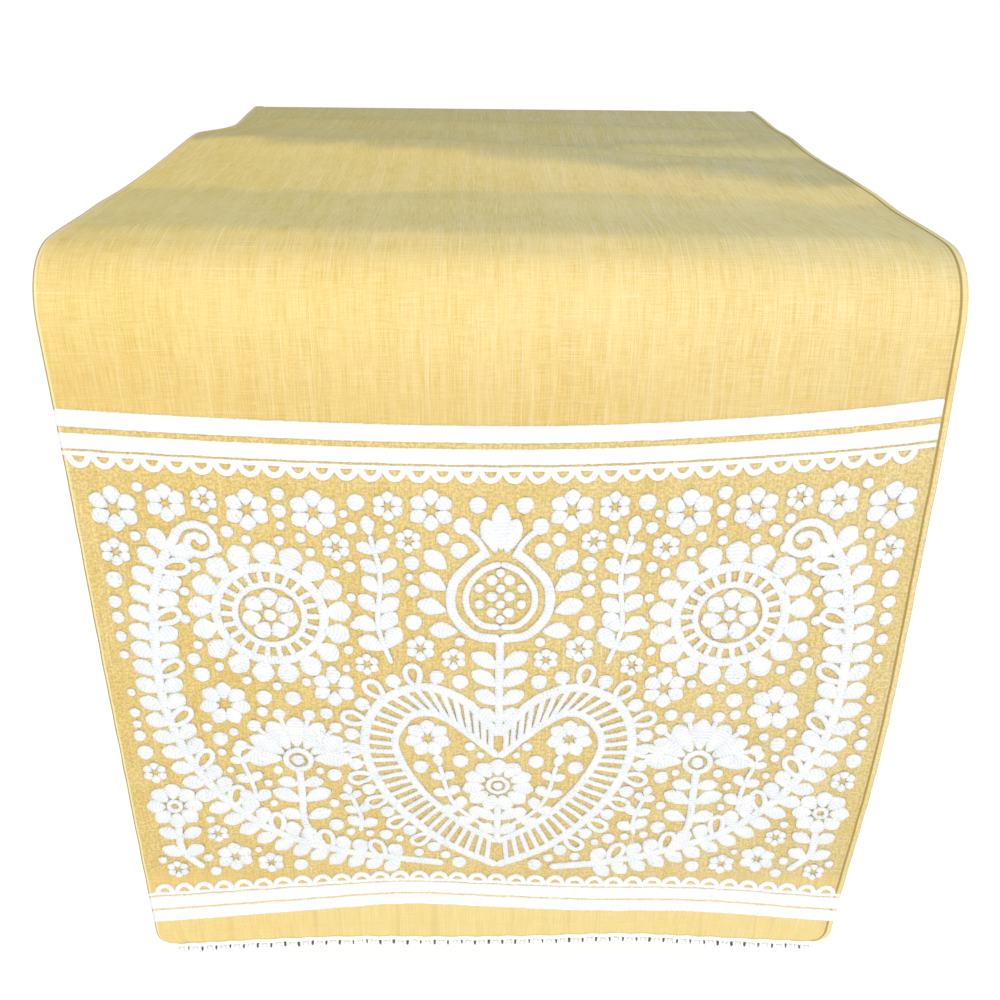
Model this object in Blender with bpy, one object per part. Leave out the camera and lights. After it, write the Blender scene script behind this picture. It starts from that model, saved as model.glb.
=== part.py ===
"""An embroidered table runner hanging over both ends of a small plain side table.

Units are metres and +Z is up. X runs across the runner, and the near end hangs on the -Y side.
The origin is on the floor, under the middle of the table.

The cloth is worked out as one sheet. A place on it is given by across, from -1 at the left side to
1 at the right, and along, the length of cloth from the middle of the table, negative towards the
near end. The far end falls as the near one does, turned half round.
"""

import math
from functools import lru_cache

import bmesh
import bpy
from mathutils import Vector

# The table, plain and a little narrower than the runner that covers it
TABLE_HEIGHT = 0.470
TOP_WIDTH = 0.360
TOP_DEPTH = 0.408
TOP_THICKNESS = 0.022
TOP_EDGE_RADIUS = 0.008
LEG_INSET = 0.028
LEG_WIDTH = 0.034
FOOT_WIDTH = 0.026
APRON_HEIGHT = 0.048
APRON_THICKNESS = 0.016
SMALL_BEVEL = 0.0015

# The cloth
RUNNER_WIDTH = 0.400
RUNNER_LENGTH = 1.247
CLOTH_THICKNESS = 0.0016
CORNER_RADIUS = 0.009
CORNER_ZONE = 0.026
TOUCH_GAP = 0.0003

# How the cloth turns over the table's edge, as lengths of cloth
ROLL_START = 0.190
ROLL_LENGTH = 0.058
EDGE_LIFT = 0.0022
EDGE_LIFT_REACH = 0.090
STEP = 0.001
SLOPE_STEP = 0.002

# Stitched bands, measured up from the cloth's end: the lower edge and the width of each
BAND_THICKNESS = 0.0010
BAND_SIDE_MARGIN = 0.0010
BANDS = {
    "hem_lower": {"above_end": 0.0251, "width": 0.0090},
    "hem_upper": {"above_end": 0.0355, "width": 0.0095},
    "head_lower": {"above_end": 0.3168, "width": 0.0080},
    "head_upper": {"above_end": 0.3278, "width": 0.0082},
}
# How far the bands' left and right ends lie up the cloth from their middles: the stitching draws
# the middle of the panel together
HEAD_BOW = (0.0068, 0.0160)
HEM_BOW = (-0.0062, -0.0072)
BOW_EASE = 0.030

# The picot edging below the cloth's end: a notch between two picots is this share of their depth
PICOT_COUNT = 47
PICOT_PITCH = 0.00815
PICOT_DEPTH = 0.0068
PICOT_NOTCH = 0.55
PICOT_STEPS = 4
TAPE_HEIGHT = 0.0042
TRIM_THICKNESS = 0.0018

# Soft folds in a hanging end: where they lie across it, how wide they are as shares of half the
# width, and how far they stand out, in metres, at the head bands, half way down and at the hem
HANGING_FOLDS = (
    {"across": 0.05, "spread": 0.70, "out": (0.0026, 0.0092, 0.0000)},
    {"across": -1.05, "spread": 0.42, "out": (0.0000, 0.0027, 0.0058)},
    {"across": 1.05, "spread": 0.42, "out": (0.0071, 0.0140, 0.0060)},
    {"across": -0.27, "spread": 0.20, "out": (0.0000, 0.0000, -0.0030)},
    {"across": 0.28, "spread": 0.24, "out": (0.0000, 0.0000, 0.0026)},
)

# Ripples in the cloth on the table: where the crest crosses the left and right sides, in Y, its
# height at the left, in the middle and at the right, and its reach to the near and far side
TABLE_RIPPLES = (
    {"y": (0.066, -0.045), "height": (0.0020, 0.0060, 0.0012), "near": 0.060, "far": 0.030},
    {"y": (0.135, 0.085), "height": (0.0000, 0.0030, 0.0015), "near": 0.030, "far": 0.030},
    {"y": (-0.125, -0.100), "height": (0.0010, 0.0020, 0.0012), "near": 0.022, "far": 0.034},
)
RIPPLE_FREE_END = 0.030

# Beyond the first crest the left side lies a little further in
SIDE_SHIFT = 0.017
SIDE_SHIFT_FROM = 0.075
SIDE_SHIFT_LENGTH = 0.050

# Rows and columns of the sheet
COLUMNS = 20
TABLE_ROWS = 24
ROLL_ROWS = 8
PANEL_ROWS = 9
CORNER_ROWS = 4

MATERIALS = {
    "pale_wood": {"colour": (0.78, 0.66, 0.50, 1.0), "roughness": 0.55},
    "yellow_cloth": {"colour": (0.86, 0.66, 0.24, 1.0), "roughness": 0.90},
    "white_stitching": {"colour": (0.93, 0.93, 0.91, 1.0), "roughness": 0.95},
}

HALF_WIDTH = RUNNER_WIDTH / 2
HALF_LENGTH = RUNNER_LENGTH / 2
CLOTH_LEVEL = TABLE_HEIGHT + TOUCH_GAP + CLOTH_THICKNESS / 2


def smooth_step(share):
    share = min(1.0, max(0.0, share))
    return share * share * (3 - 2 * share)


def bell(share):
    """1 at 0, falling smoothly to nearly 0 at 2 and beyond."""
    return math.exp(-share * share)


def eased(values, share):
    """A value between evenly spaced ones, easing from each to the next."""
    place = min(1.0, max(0.0, share)) * (len(values) - 1)
    number = min(int(place), len(values) - 2)
    return values[number] + (values[number + 1] - values[number]) * smooth_step(place - number)


# The fall of the cloth

def heading(out):
    """The angle below level at which the cloth runs, out along it from the table's middle."""
    return math.radians(90) * smooth_step((out - ROLL_START) / ROLL_LENGTH)


@lru_cache(maxsize=1)
def fall_line():
    """How far out and how far down the cloth has come, at each step along it."""
    places = [(0.0, 0.0)]
    reach = HALF_LENGTH + TAPE_HEIGHT + PICOT_DEPTH + 2 * STEP
    for number in range(math.ceil(reach / STEP)):
        angle = heading((number + 0.5) * STEP)
        outward, down = places[-1]
        places.append((outward + math.cos(angle) * STEP, down + math.sin(angle) * STEP))
    return places


def fallen(out):
    places = fall_line()
    number = min(int(out / STEP), len(places) - 2)
    share = out / STEP - number
    near, far = places[number], places[number + 1]
    return near[0] + (far[0] - near[0]) * share, near[1] + (far[1] - near[1]) * share


def standing_out(across, out):
    """How far the folds of a hanging end push the cloth outward."""
    head = HALF_LENGTH - BANDS["head_upper"]["above_end"] - BANDS["head_upper"]["width"]
    hanging = smooth_step((out - ROLL_START - ROLL_LENGTH / 2) / (head - ROLL_START))
    down_panel = (out - head) / (HALF_LENGTH - head)
    total = 0.0
    for fold in HANGING_FOLDS:
        total += eased(fold["out"], down_panel) * bell((across - fold["across"]) / fold["spread"])
    return hanging * total


def ripple_height(x, y):
    """How high the cloth on the table stands off it."""
    share = (x + HALF_WIDTH) / RUNNER_WIDTH
    total = 0.0
    for ripple in TABLE_RIPPLES:
        crest = ripple["y"][0] + (ripple["y"][1] - ripple["y"][0]) * share
        reach = ripple["near"] if y < crest else ripple["far"]
        total += eased(ripple["height"], share) * bell((y - crest) / reach)
    inside = smooth_step((ROLL_START - abs(y)) / RIPPLE_FREE_END)
    lift = EDGE_LIFT * smooth_step(1 - (ROLL_START - abs(y)) / EDGE_LIFT_REACH)
    return total * inside + lift


def side_shift(across, along):
    """How far the cloth lies in from its left side."""
    return SIDE_SHIFT * smooth_step((along - SIDE_SHIFT_FROM) / SIDE_SHIFT_LENGTH) * smooth_step(-across)


def side_reach(across, out):
    """X for a place across the cloth, drawn in where its corners are rounded."""
    x = across * HALF_WIDTH
    into_corner = out - (HALF_LENGTH - CORNER_RADIUS)
    if into_corner <= 0 or abs(x) <= HALF_WIDTH - CORNER_ZONE:
        return x
    into_corner = min(into_corner, CORNER_RADIUS)
    cut = CORNER_RADIUS - math.sqrt(CORNER_RADIUS**2 - into_corner**2)
    share = (abs(x) - HALF_WIDTH + CORNER_ZONE) / CORNER_ZONE
    return math.copysign(abs(x) - cut * share, x)


def sheet_point(across, along, rounded=True):
    """The middle of the cloth's thickness."""
    end = -1 if along < 0 else 1
    own_across = -across * end
    out = abs(along)
    outward, down = fallen(out)
    outward += standing_out(own_across, out)
    x = side_reach(across, out) if rounded else across * HALF_WIDTH
    y = end * outward
    height = CLOTH_LEVEL + ripple_height(x, y) - down
    return Vector((x + side_shift(across, along), y, height))


def sheet_normal(across, along):
    """Out of the cloth's right side."""
    left, right = (sheet_point(across + side, along, False) for side in (-SLOPE_STEP, SLOPE_STEP))
    near, far = (sheet_point(across, along + side, False) for side in (-SLOPE_STEP, SLOPE_STEP))
    return (right - left).cross(far - near).normalized()


def bow(across, above_end):
    """How far up the cloth the bands are drawn at this place across."""
    towards_head = smooth_step(above_end / BANDS["head_upper"]["above_end"])
    side = 0 if across < 0 else 1
    depth = HEM_BOW[side] + (HEAD_BOW[side] - HEM_BOW[side]) * towards_head
    return depth * across * across


# Building helpers

def clear_scene():
    for found in list(bpy.data.objects):
        bpy.data.objects.remove(found, do_unlink=True)


def make_material(name):
    material = bpy.data.materials.new(name)
    material.use_nodes = True
    shader = material.node_tree.nodes["Principled BSDF"]
    shader.inputs["Base Color"].default_value = MATERIALS[name]["colour"]
    shader.inputs["Roughness"].default_value = MATERIALS[name]["roughness"]
    shader.inputs["Metallic"].default_value = 0.0
    return material


def link_object(name, mesh, material):
    made = bpy.data.objects.new(name, mesh)
    made.data.materials.append(material)
    bpy.context.scene.collection.objects.link(made)
    return made


def add_sheet(name, rows, thickness, material):
    """A sheet of even thickness about a grid of points, given as rows."""
    mesh = bpy.data.meshes.new(name)
    grid = bmesh.new()
    made_rows = [[grid.verts.new(point) for point in row] for row in rows]
    for near, far in zip(made_rows, made_rows[1:]):
        for left in range(len(near) - 1):
            grid.faces.new((near[left], near[left + 1], far[left + 1], far[left]))
    grid.normal_update()
    grid.to_mesh(mesh)
    grid.free()
    made = link_object(name, mesh, material)
    thicken = made.modifiers.new("Thickness", "SOLIDIFY")
    thicken.thickness = thickness
    thicken.offset = 0.0
    thicken.use_even_offset = True
    return made


def add_block(name, size, centre, material, bevel=SMALL_BEVEL, foot_scale=1.0, segments=1):
    """A block with eased edges. foot_scale narrows its lower end."""
    mesh = bpy.data.meshes.new(name)
    block = bmesh.new()
    bmesh.ops.create_cube(block, size=1.0)
    for vert in block.verts:
        taper = foot_scale if vert.co.z < 0 else 1.0
        vert.co = Vector((vert.co.x * size[0] * taper, vert.co.y * size[1] * taper, vert.co.z * size[2]))
    block.to_mesh(mesh)
    block.free()
    made = link_object(name, mesh, material)
    made.location = centre
    ease = made.modifiers.new("Eased edges", "BEVEL")
    ease.width = bevel
    ease.segments = segments
    return made


# The table

def build_table(wood):
    top_z = TABLE_HEIGHT - TOP_THICKNESS / 2
    add_block("table_top", (TOP_WIDTH, TOP_DEPTH, TOP_THICKNESS), (0, 0, top_z), wood,
              bevel=TOP_EDGE_RADIUS, segments=3)

    leg_height = TABLE_HEIGHT - TOP_THICKNESS - TOUCH_GAP
    leg_x = TOP_WIDTH / 2 - LEG_INSET - LEG_WIDTH / 2
    leg_y = TOP_DEPTH / 2 - LEG_INSET - LEG_WIDTH / 2
    for side, sign_x in (("left", -1), ("right", 1)):
        for end, sign_y in (("near", -1), ("far", 1)):
            add_block(f"leg_{end}_{side}", (LEG_WIDTH, LEG_WIDTH, leg_height),
                      (sign_x * leg_x, sign_y * leg_y, leg_height / 2), wood,
                      foot_scale=FOOT_WIDTH / LEG_WIDTH)

    apron_z = leg_height - APRON_HEIGHT / 2
    between_x = 2 * leg_x - LEG_WIDTH - 2 * TOUCH_GAP
    between_y = 2 * leg_y - LEG_WIDTH - 2 * TOUCH_GAP
    for end, sign in (("near", -1), ("far", 1)):
        add_block(f"apron_{end}", (between_x, APRON_THICKNESS, APRON_HEIGHT),
                  (0, sign * leg_y, apron_z), wood)
    for side, sign in (("left", -1), ("right", 1)):
        add_block(f"apron_{side}", (APRON_THICKNESS, between_y, APRON_HEIGHT),
                  (sign * leg_x, 0, apron_z), wood)


# The cloth and what is sewn to it

def row_places():
    """Lengths along the cloth at which the sheet has a row, from the near end to the far one."""
    outs = set()
    for number in range(TABLE_ROWS // 2 + 1):
        outs.add(ROLL_START * number / (TABLE_ROWS // 2))
    for number in range(1, ROLL_ROWS + 1):
        outs.add(ROLL_START + ROLL_LENGTH * number / ROLL_ROWS)
    edges = sorted(HALF_LENGTH - band["above_end"] - part * band["width"]
                   for band in BANDS.values() for part in (0, 1))
    outs.update(edges)
    outs.add((edges[0] + ROLL_START + ROLL_LENGTH) / 2)
    panel_top, panel_end = edges[3], edges[4]
    for number in range(1, PANEL_ROWS):
        outs.add(panel_top + (panel_end - panel_top) * number / PANEL_ROWS)
    for number in range(CORNER_ROWS + 1):
        turn = math.radians(90) * number / CORNER_ROWS
        outs.add(HALF_LENGTH - CORNER_RADIUS * (1 - math.sin(turn)))
    ordered = sorted(outs)
    return [-out for out in reversed(ordered)] + [out for out in ordered if out > 0]


def column_places(margin=0.0):
    limit = 1 - margin / HALF_WIDTH
    even = [-1 + 2 * number / COLUMNS for number in range(COLUMNS + 1)]
    return [min(limit, max(-limit, across)) for across in even]


def bowed(across, along):
    """The place along the cloth to which the bow of the stitching moves a row."""
    end = -1 if along < 0 else 1
    above_end = HALF_LENGTH - abs(along)
    hanging = smooth_step((abs(along) - ROLL_START - ROLL_LENGTH) / BOW_EASE)
    plain_end = BANDS["hem_lower"]["above_end"] - CORNER_RADIUS
    hanging *= smooth_step((above_end - CORNER_RADIUS) / plain_end)
    return along - end * hanging * bow(-across * end, above_end)


def build_runner(cloth):
    rows = []
    for along in row_places():
        rows.append([sheet_point(across, bowed(across, along)) for across in column_places()])
    add_sheet("runner_cloth", rows, CLOTH_THICKNESS, cloth)


def build_bands(stitch):
    stand_off = CLOTH_THICKNESS / 2 + TOUCH_GAP + BAND_THICKNESS / 2
    for end, sign in (("near", -1), ("far", 1)):
        for name, band in BANDS.items():
            rows = []
            for part in (1, 0):
                along = sign * (HALF_LENGTH - band["above_end"] - part * band["width"])
                row = []
                for across in column_places(BAND_SIDE_MARGIN):
                    place = bowed(across, along)
                    row.append(sheet_point(across, place) + stand_off * sheet_normal(across, place))
                rows.append(row)
            add_sheet(f"band_{end}_{name}", rows, BAND_THICKNESS, stitch)


def build_trims(stitch):
    half_run = PICOT_COUNT * PICOT_PITCH / 2
    for end, sign in (("near", -1), ("far", 1)):
        top, bottom = [], []
        for number in range(PICOT_COUNT * PICOT_STEPS + 1):
            across = (number / PICOT_STEPS * PICOT_PITCH - half_run) / HALF_WIDTH
            turn = math.pi * (number % PICOT_STEPS) / PICOT_STEPS
            notch = PICOT_NOTCH * (1 - math.sqrt(math.sin(turn)))
            depth = TAPE_HEIGHT + PICOT_DEPTH * (1 - notch)
            start = HALF_LENGTH + TOUCH_GAP
            top.append(sheet_point(across, sign * start, False))
            bottom.append(sheet_point(across, sign * (start + depth), False))
        add_sheet(f"picot_trim_{end}", [top, bottom], TRIM_THICKNESS, stitch)


def main():
    clear_scene()
    stitch = make_material("white_stitching")
    build_table(make_material("pale_wood"))
    build_runner(make_material("yellow_cloth"))
    build_bands(stitch)
    build_trims(stitch)


main()
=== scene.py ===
"""The embroidered table runner, dressed: woven cloth, thread stitching, picot edging and a wooden table.

Metres, +Z up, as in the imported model. A place on the cloth is given by across, from -1 at the left
side to 1 at the right, and along, the length of cloth from the middle of the table, negative
towards the near end. The stitched panel is drawn flat, in millimetres, and laid on the cloth.
"""

import math

import bpy
import numpy as np
from mathutils import Matrix, Vector


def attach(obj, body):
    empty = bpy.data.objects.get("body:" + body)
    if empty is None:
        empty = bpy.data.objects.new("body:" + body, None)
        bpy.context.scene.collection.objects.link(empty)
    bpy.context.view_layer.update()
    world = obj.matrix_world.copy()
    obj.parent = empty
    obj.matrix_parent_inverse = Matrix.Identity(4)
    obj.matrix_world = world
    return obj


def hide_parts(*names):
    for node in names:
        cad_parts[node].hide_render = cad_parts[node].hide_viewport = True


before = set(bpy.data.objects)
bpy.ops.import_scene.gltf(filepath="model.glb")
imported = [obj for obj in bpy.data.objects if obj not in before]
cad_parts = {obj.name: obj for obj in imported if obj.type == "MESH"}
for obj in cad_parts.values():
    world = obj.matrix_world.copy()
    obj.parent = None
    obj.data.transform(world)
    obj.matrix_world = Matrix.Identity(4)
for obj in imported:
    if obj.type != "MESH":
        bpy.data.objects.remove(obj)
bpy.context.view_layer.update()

MM = 0.001
TURN = 2 * math.pi
ENDS = {"near": -1, "far": 1}

# Sizes that the solids have too
TABLE_HEIGHT = 0.470
RUNNER_WIDTH = 0.400
RUNNER_LENGTH = 1.247
CLOTH_THICKNESS = 0.0016
CORNER_RADIUS = 0.009
CORNER_ZONE = 0.026
TOUCH_GAP = 0.0003
ROLL_START = 0.190
ROLL_LENGTH = 0.058
EDGE_LIFT = 0.0022
EDGE_LIFT_REACH = 0.090
STEP = 0.001
SLOPE_STEP = 0.002
BANDS = {
    "hem_lower": {"above_end": 0.0251, "width": 0.0090},
    "hem_upper": {"above_end": 0.0355, "width": 0.0095},
    "head_lower": {"above_end": 0.3168, "width": 0.0080},
    "head_upper": {"above_end": 0.3278, "width": 0.0082},
}
HEAD_BOW = (0.0068, 0.0160)
HEM_BOW = (-0.0062, -0.0072)
BOW_EASE = 0.030
PICOT_COUNT = 47
PICOT_PITCH = 0.00815
PICOT_DEPTH = 0.0068
TAPE_HEIGHT = 0.0042
HANGING_FOLDS = (
    {"across": 0.05, "spread": 0.70, "out": (0.0026, 0.0092, 0.0000)},
    {"across": -1.05, "spread": 0.42, "out": (0.0000, 0.0027, 0.0058)},
    {"across": 1.05, "spread": 0.42, "out": (0.0071, 0.0140, 0.0060)},
    {"across": -0.27, "spread": 0.20, "out": (0.0000, 0.0000, -0.0030)},
    {"across": 0.28, "spread": 0.24, "out": (0.0000, 0.0000, 0.0026)},
)
TABLE_RIPPLES = (
    {"y": (0.066, -0.045), "height": (0.0020, 0.0060, 0.0012), "near": 0.060, "far": 0.030},
    {"y": (0.135, 0.085), "height": (0.0000, 0.0030, 0.0015), "near": 0.030, "far": 0.030},
    {"y": (-0.125, -0.100), "height": (0.0010, 0.0020, 0.0012), "near": 0.022, "far": 0.034},
)
RIPPLE_FREE_END = 0.030
SIDE_SHIFT = 0.017
SIDE_SHIFT_FROM = 0.075
SIDE_SHIFT_LENGTH = 0.050

HALF_WIDTH = RUNNER_WIDTH / 2
HALF_LENGTH = RUNNER_LENGTH / 2
CLOTH_LEVEL = TABLE_HEIGHT + TOUCH_GAP + CLOTH_THICKNESS / 2

# Finer shape of the cloth: flutes and flares along each end, which hangs a little further in than the
# solid's, puckers in the panel, and the hems turned in on all four sides
FLUTE_LENGTH = 0.0152
FLUTE_DEPTH = 0.0003
END_REACH = 0.026
END_FLARES = (
    {"across": -0.24, "spread": 0.22, "out": 0.0039},
    {"across": 0.34, "spread": 0.20, "out": -0.0033},
)
HEM_DRAW = 0.0010
HEM_DRAW_REACH = 0.110
PUCKER_DEPTH = 0.00022
PUCKER_WIDTH = 0.0235
PUCKER_LENGTH = 0.027
# Where each crease crosses the left and right sides, in Y, how high it stands, and its reach to the
# near and the far side. The last is the rise just before the cloth turns over the table's edge.
CREASES = (
    {"y": (0.060, -0.030), "height": 0.0030, "near": 0.046, "far": 0.014},
    {"y": (0.140, 0.095), "height": 0.0018, "near": 0.022, "far": 0.020},
    {"y": (-0.184, -0.196), "height": 0.0022, "near": 0.012, "far": 0.060},
)
CREASE_FREE_SIDE = 0.10
SIDE_HEM = 0.0052
END_HEM = 0.0100
HEM_RISE = 0.00035
SEAM_DEPTH = 0.00030
SEAM_WIDTH = 0.0009
UNDERSIDE = 0.0004
COLUMN_SPACING = 0.0031
ROW_SPACING = 0.0046


def smooth_step(share):
    share = np.clip(share, 0.0, 1.0)
    return share * share * (3 - 2 * share)


def bell(share):
    return np.exp(-share * share)


def eased(values, share):
    """Values between evenly spaced ones, easing from each to the next."""
    values = np.asarray(values)
    place = np.clip(share, 0.0, 1.0) * (len(values) - 1)
    number = np.minimum(place.astype(int), len(values) - 2)
    return values[number] + (values[number + 1] - values[number]) * smooth_step(place - number)


# The cloth's surface

def fall_line():
    """How far out and how far down the cloth has come, at each step along it."""
    steps = math.ceil((HALF_LENGTH + TAPE_HEIGHT + PICOT_DEPTH + 4 * STEP) / STEP)
    middles = (np.arange(steps) + 0.5) * STEP
    heading = math.radians(90) * smooth_step((middles - ROLL_START) / ROLL_LENGTH)
    outward = np.concatenate([[0.0], np.cumsum(np.cos(heading) * STEP)])
    down = np.concatenate([[0.0], np.cumsum(np.sin(heading) * STEP)])
    return np.arange(steps + 1) * STEP, outward, down


FALL_PLACES, FALL_OUTWARD, FALL_DOWN = fall_line()


def standing_out(across, out):
    """How far the folds of a hanging end push the cloth outward."""
    head = HALF_LENGTH - BANDS["head_upper"]["above_end"] - BANDS["head_upper"]["width"]
    hanging = smooth_step((out - ROLL_START - ROLL_LENGTH / 2) / (head - ROLL_START))
    down_panel = (out - head) / (HALF_LENGTH - head)
    total = 0.0
    for fold in HANGING_FOLDS:
        total = total + eased(fold["out"], down_panel) * bell((across - fold["across"]) / fold["spread"])
    return hanging * total


def fine_relief(across, out):
    """The flutes and flares near the end and the slight pucker that stitching leaves, outward."""
    x = across * HALF_WIDTH
    above_end = HALF_LENGTH - out
    wander = 0.9 * np.sin(9.0 * across + 1.3) + 0.6 * np.sin(23.0 * across)
    flutes = np.sin(TURN * x / FLUTE_LENGTH + wander)
    at_end = FLUTE_DEPTH * flutes
    for flare in END_FLARES:
        at_end = at_end + flare["out"] * bell((across - flare["across"]) / flare["spread"])
    at_end = at_end * smooth_step(1 - above_end / END_REACH)
    drawn = HEM_DRAW * smooth_step(1 - above_end / HEM_DRAW_REACH)
    pucker = np.sin(TURN * x / PUCKER_WIDTH + 2.1 * np.sin(above_end / 0.031))
    pucker = pucker * np.sin(TURN * above_end / PUCKER_LENGTH + 1.7 * np.sin(x / 0.037))
    in_panel = smooth_step(above_end / 0.05) * smooth_step((0.345 - above_end) / 0.03)
    return at_end - drawn + PUCKER_DEPTH * pucker * in_panel


def ripple_height(x, y):
    """How high the cloth on the table stands off it."""
    share = (x + HALF_WIDTH) / RUNNER_WIDTH
    total = 0.0
    for ripple in TABLE_RIPPLES:
        crest = ripple["y"][0] + (ripple["y"][1] - ripple["y"][0]) * share
        reach = np.where(y < crest, ripple["near"], ripple["far"])
        total = total + eased(ripple["height"], share) * bell((y - crest) / reach)
    inside = smooth_step((ROLL_START - np.abs(y)) / RIPPLE_FREE_END)
    lift = EDGE_LIFT * smooth_step(1 - (ROLL_START - np.abs(y)) / EDGE_LIFT_REACH)
    return total * inside + lift + crease_height(share, y)


def crease_height(share, y):
    """Creases that fade out towards both sides. share is 0 at the left side and 1 at the right."""
    total = 0.0
    for crease in CREASES:
        line = crease["y"][0] + (crease["y"][1] - crease["y"][0]) * share
        reach = np.where(y < line, crease["near"], crease["far"])
        ramp = np.clip(1 - np.abs(y - line) / reach, 0.0, 1.0)
        total = total + crease["height"] * (0.75 * ramp + 0.25 * smooth_step(ramp))
    return total * smooth_step(np.minimum(share, 1 - share) / CREASE_FREE_SIDE)


def side_reach(across, out):
    """X for a place across the cloth, drawn in where its corners are rounded."""
    x = across * HALF_WIDTH
    into_corner = np.clip(out - (HALF_LENGTH - CORNER_RADIUS), 0.0, CORNER_RADIUS)
    cut = CORNER_RADIUS - np.sqrt(CORNER_RADIUS**2 - into_corner**2)
    share = np.clip((np.abs(x) - HALF_WIDTH + CORNER_ZONE) / CORNER_ZONE, 0.0, None)
    return x - np.sign(x) * cut * share


def sheet_points(across, along, rounded=False):
    """The middle of the cloth's thickness."""
    across, along = np.broadcast_arrays(across, along)
    end = np.where(along < 0, -1.0, 1.0)
    own_across = -across * end
    out = np.abs(along)
    outward = np.interp(out, FALL_PLACES, FALL_OUTWARD)
    outward = outward + standing_out(own_across, out) + fine_relief(own_across, out)
    x = side_reach(across, out) if rounded else across * HALF_WIDTH
    y = end * outward
    height = CLOTH_LEVEL + ripple_height(x, y) - np.interp(out, FALL_PLACES, FALL_DOWN)
    drawn_in = SIDE_SHIFT * smooth_step((along - SIDE_SHIFT_FROM) / SIDE_SHIFT_LENGTH)
    return np.stack([x + drawn_in * smooth_step(-across), y, height], axis=-1)


def sheet_normals(across, along):
    """Out of the cloth's right side."""
    wide = sheet_points(across + SLOPE_STEP, along) - sheet_points(across - SLOPE_STEP, along)
    deep = sheet_points(across, along + SLOPE_STEP) - sheet_points(across, along - SLOPE_STEP)
    normals = np.cross(wide, deep)
    return normals / np.linalg.norm(normals, axis=-1, keepdims=True)


def bowed(across, along):
    """The place along the cloth to which the bow of the stitching moves a row."""
    end = np.where(along < 0, -1.0, 1.0)
    own_across = -across * end
    above_end = HALF_LENGTH - np.abs(along)
    towards_head = smooth_step(above_end / BANDS["head_upper"]["above_end"])
    hem = np.where(own_across < 0, HEM_BOW[0], HEM_BOW[1])
    head = np.where(own_across < 0, HEAD_BOW[0], HEAD_BOW[1])
    bow = (hem + (head - hem) * towards_head) * across * across
    hanging = smooth_step((np.abs(along) - ROLL_START - ROLL_LENGTH) / BOW_EASE)
    plain_end = BANDS["hem_lower"]["above_end"] - CORNER_RADIUS
    hanging = hanging * smooth_step((above_end - CORNER_RADIUS) / plain_end)
    return along - end * hanging * bow


def on_panel(x, above_end, end, lift):
    """Points over the right side of a hanging end, from flat places in millimetres, lift in metres."""
    across = x * MM / HALF_WIDTH * -end
    along = bowed(across, end * (HALF_LENGTH - above_end * MM))
    stand_off = CLOTH_THICKNESS / 2 + lift
    return sheet_points(across, along) + stand_off[..., None] * sheet_normals(across, along)


# Materials

def colour_ramp(tree, value, marks):
    """The colour for a value from 0 to 1, between marks that are each a place and a colour."""
    node = tree.nodes.new("ShaderNodeValToRGB")
    elements = node.color_ramp.elements
    for number, (place, colour) in enumerate(marks):
        mark = elements[number] if number < 2 else elements.new(place)
        mark.position = place
        mark.color = colour
    tree.links.new(value, node.inputs["Fac"])
    return node.outputs["Color"]


class Shader:
    """A material built up from nodes. Values may be numbers, colours or other nodes' outputs."""

    def __init__(self, name, roughness, gloss=0.25):
        self.material = bpy.data.materials.new(name)
        self.material.use_nodes = True
        self.tree = self.material.node_tree
        self.surface = self.tree.nodes["Principled BSDF"]
        self.surface.inputs["Roughness"].default_value = roughness
        self.surface.inputs["Specular IOR Level"].default_value = gloss

    def put(self, value, socket):
        if isinstance(value, bpy.types.NodeSocket):
            self.tree.links.new(value, socket)
        else:
            socket.default_value = value

    def node(self, kind, inputs, **settings):
        """The outputs of a new node with these settings and inputs."""
        node = self.tree.nodes.new("ShaderNode" + kind)
        for name, setting in settings.items():
            setattr(node, name, setting)
        for name, value in inputs.items():
            self.put(value, node.inputs[name])
        return node.outputs

    def place(self, attribute):
        return self.node("Attribute", {}, attribute_name=attribute)["Vector"]

    def object_place(self):
        return self.node("TexCoord", {})["Object"]

    def parts(self, vector):
        return self.node("SeparateXYZ", {0: vector})

    def stretched(self, vector, scale, offset=(0.0, 0.0, 0.0)):
        return self.node("Mapping", {"Scale": scale, "Location": offset, "Vector": vector})["Vector"]

    def noise(self, vector, scale=1.0, detail=2.0, roughness=0.5):
        inputs = {"Scale": scale, "Detail": detail, "Roughness": roughness, "Vector": vector}
        return self.node("TexNoise", inputs)["Fac"]

    def math(self, operation, first, second=0.0):
        return self.node("Math", {0: first, 1: second}, operation=operation)[0]

    def plus(self, first, second):
        return self.math("ADD", first, second)

    def times(self, first, second):
        return self.math("MULTIPLY", first, second)

    def between(self, value, low, high, to_low=0.0, to_high=1.0):
        """The value carried smoothly from one range to another."""
        inputs = dict(enumerate((value, low, high, to_low, to_high)))
        return self.node("MapRange", inputs, interpolation_type="SMOOTHSTEP")["Result"]

    def mix(self, share, first, second, blend="MIX"):
        return self.node("Mix", {0: share, 6: first, 7: second}, data_type="RGBA", blend_type=blend)[2]

    def finish(self, colour, height=None, depth=0.0, strength=1.0):
        self.put(colour, self.surface.inputs["Base Color"])
        if height is not None:
            bump = self.node("Bump", {"Strength": strength, "Distance": depth, "Height": height})
            self.put(bump["Normal"], self.surface.inputs["Normal"])
        return self.material


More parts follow.
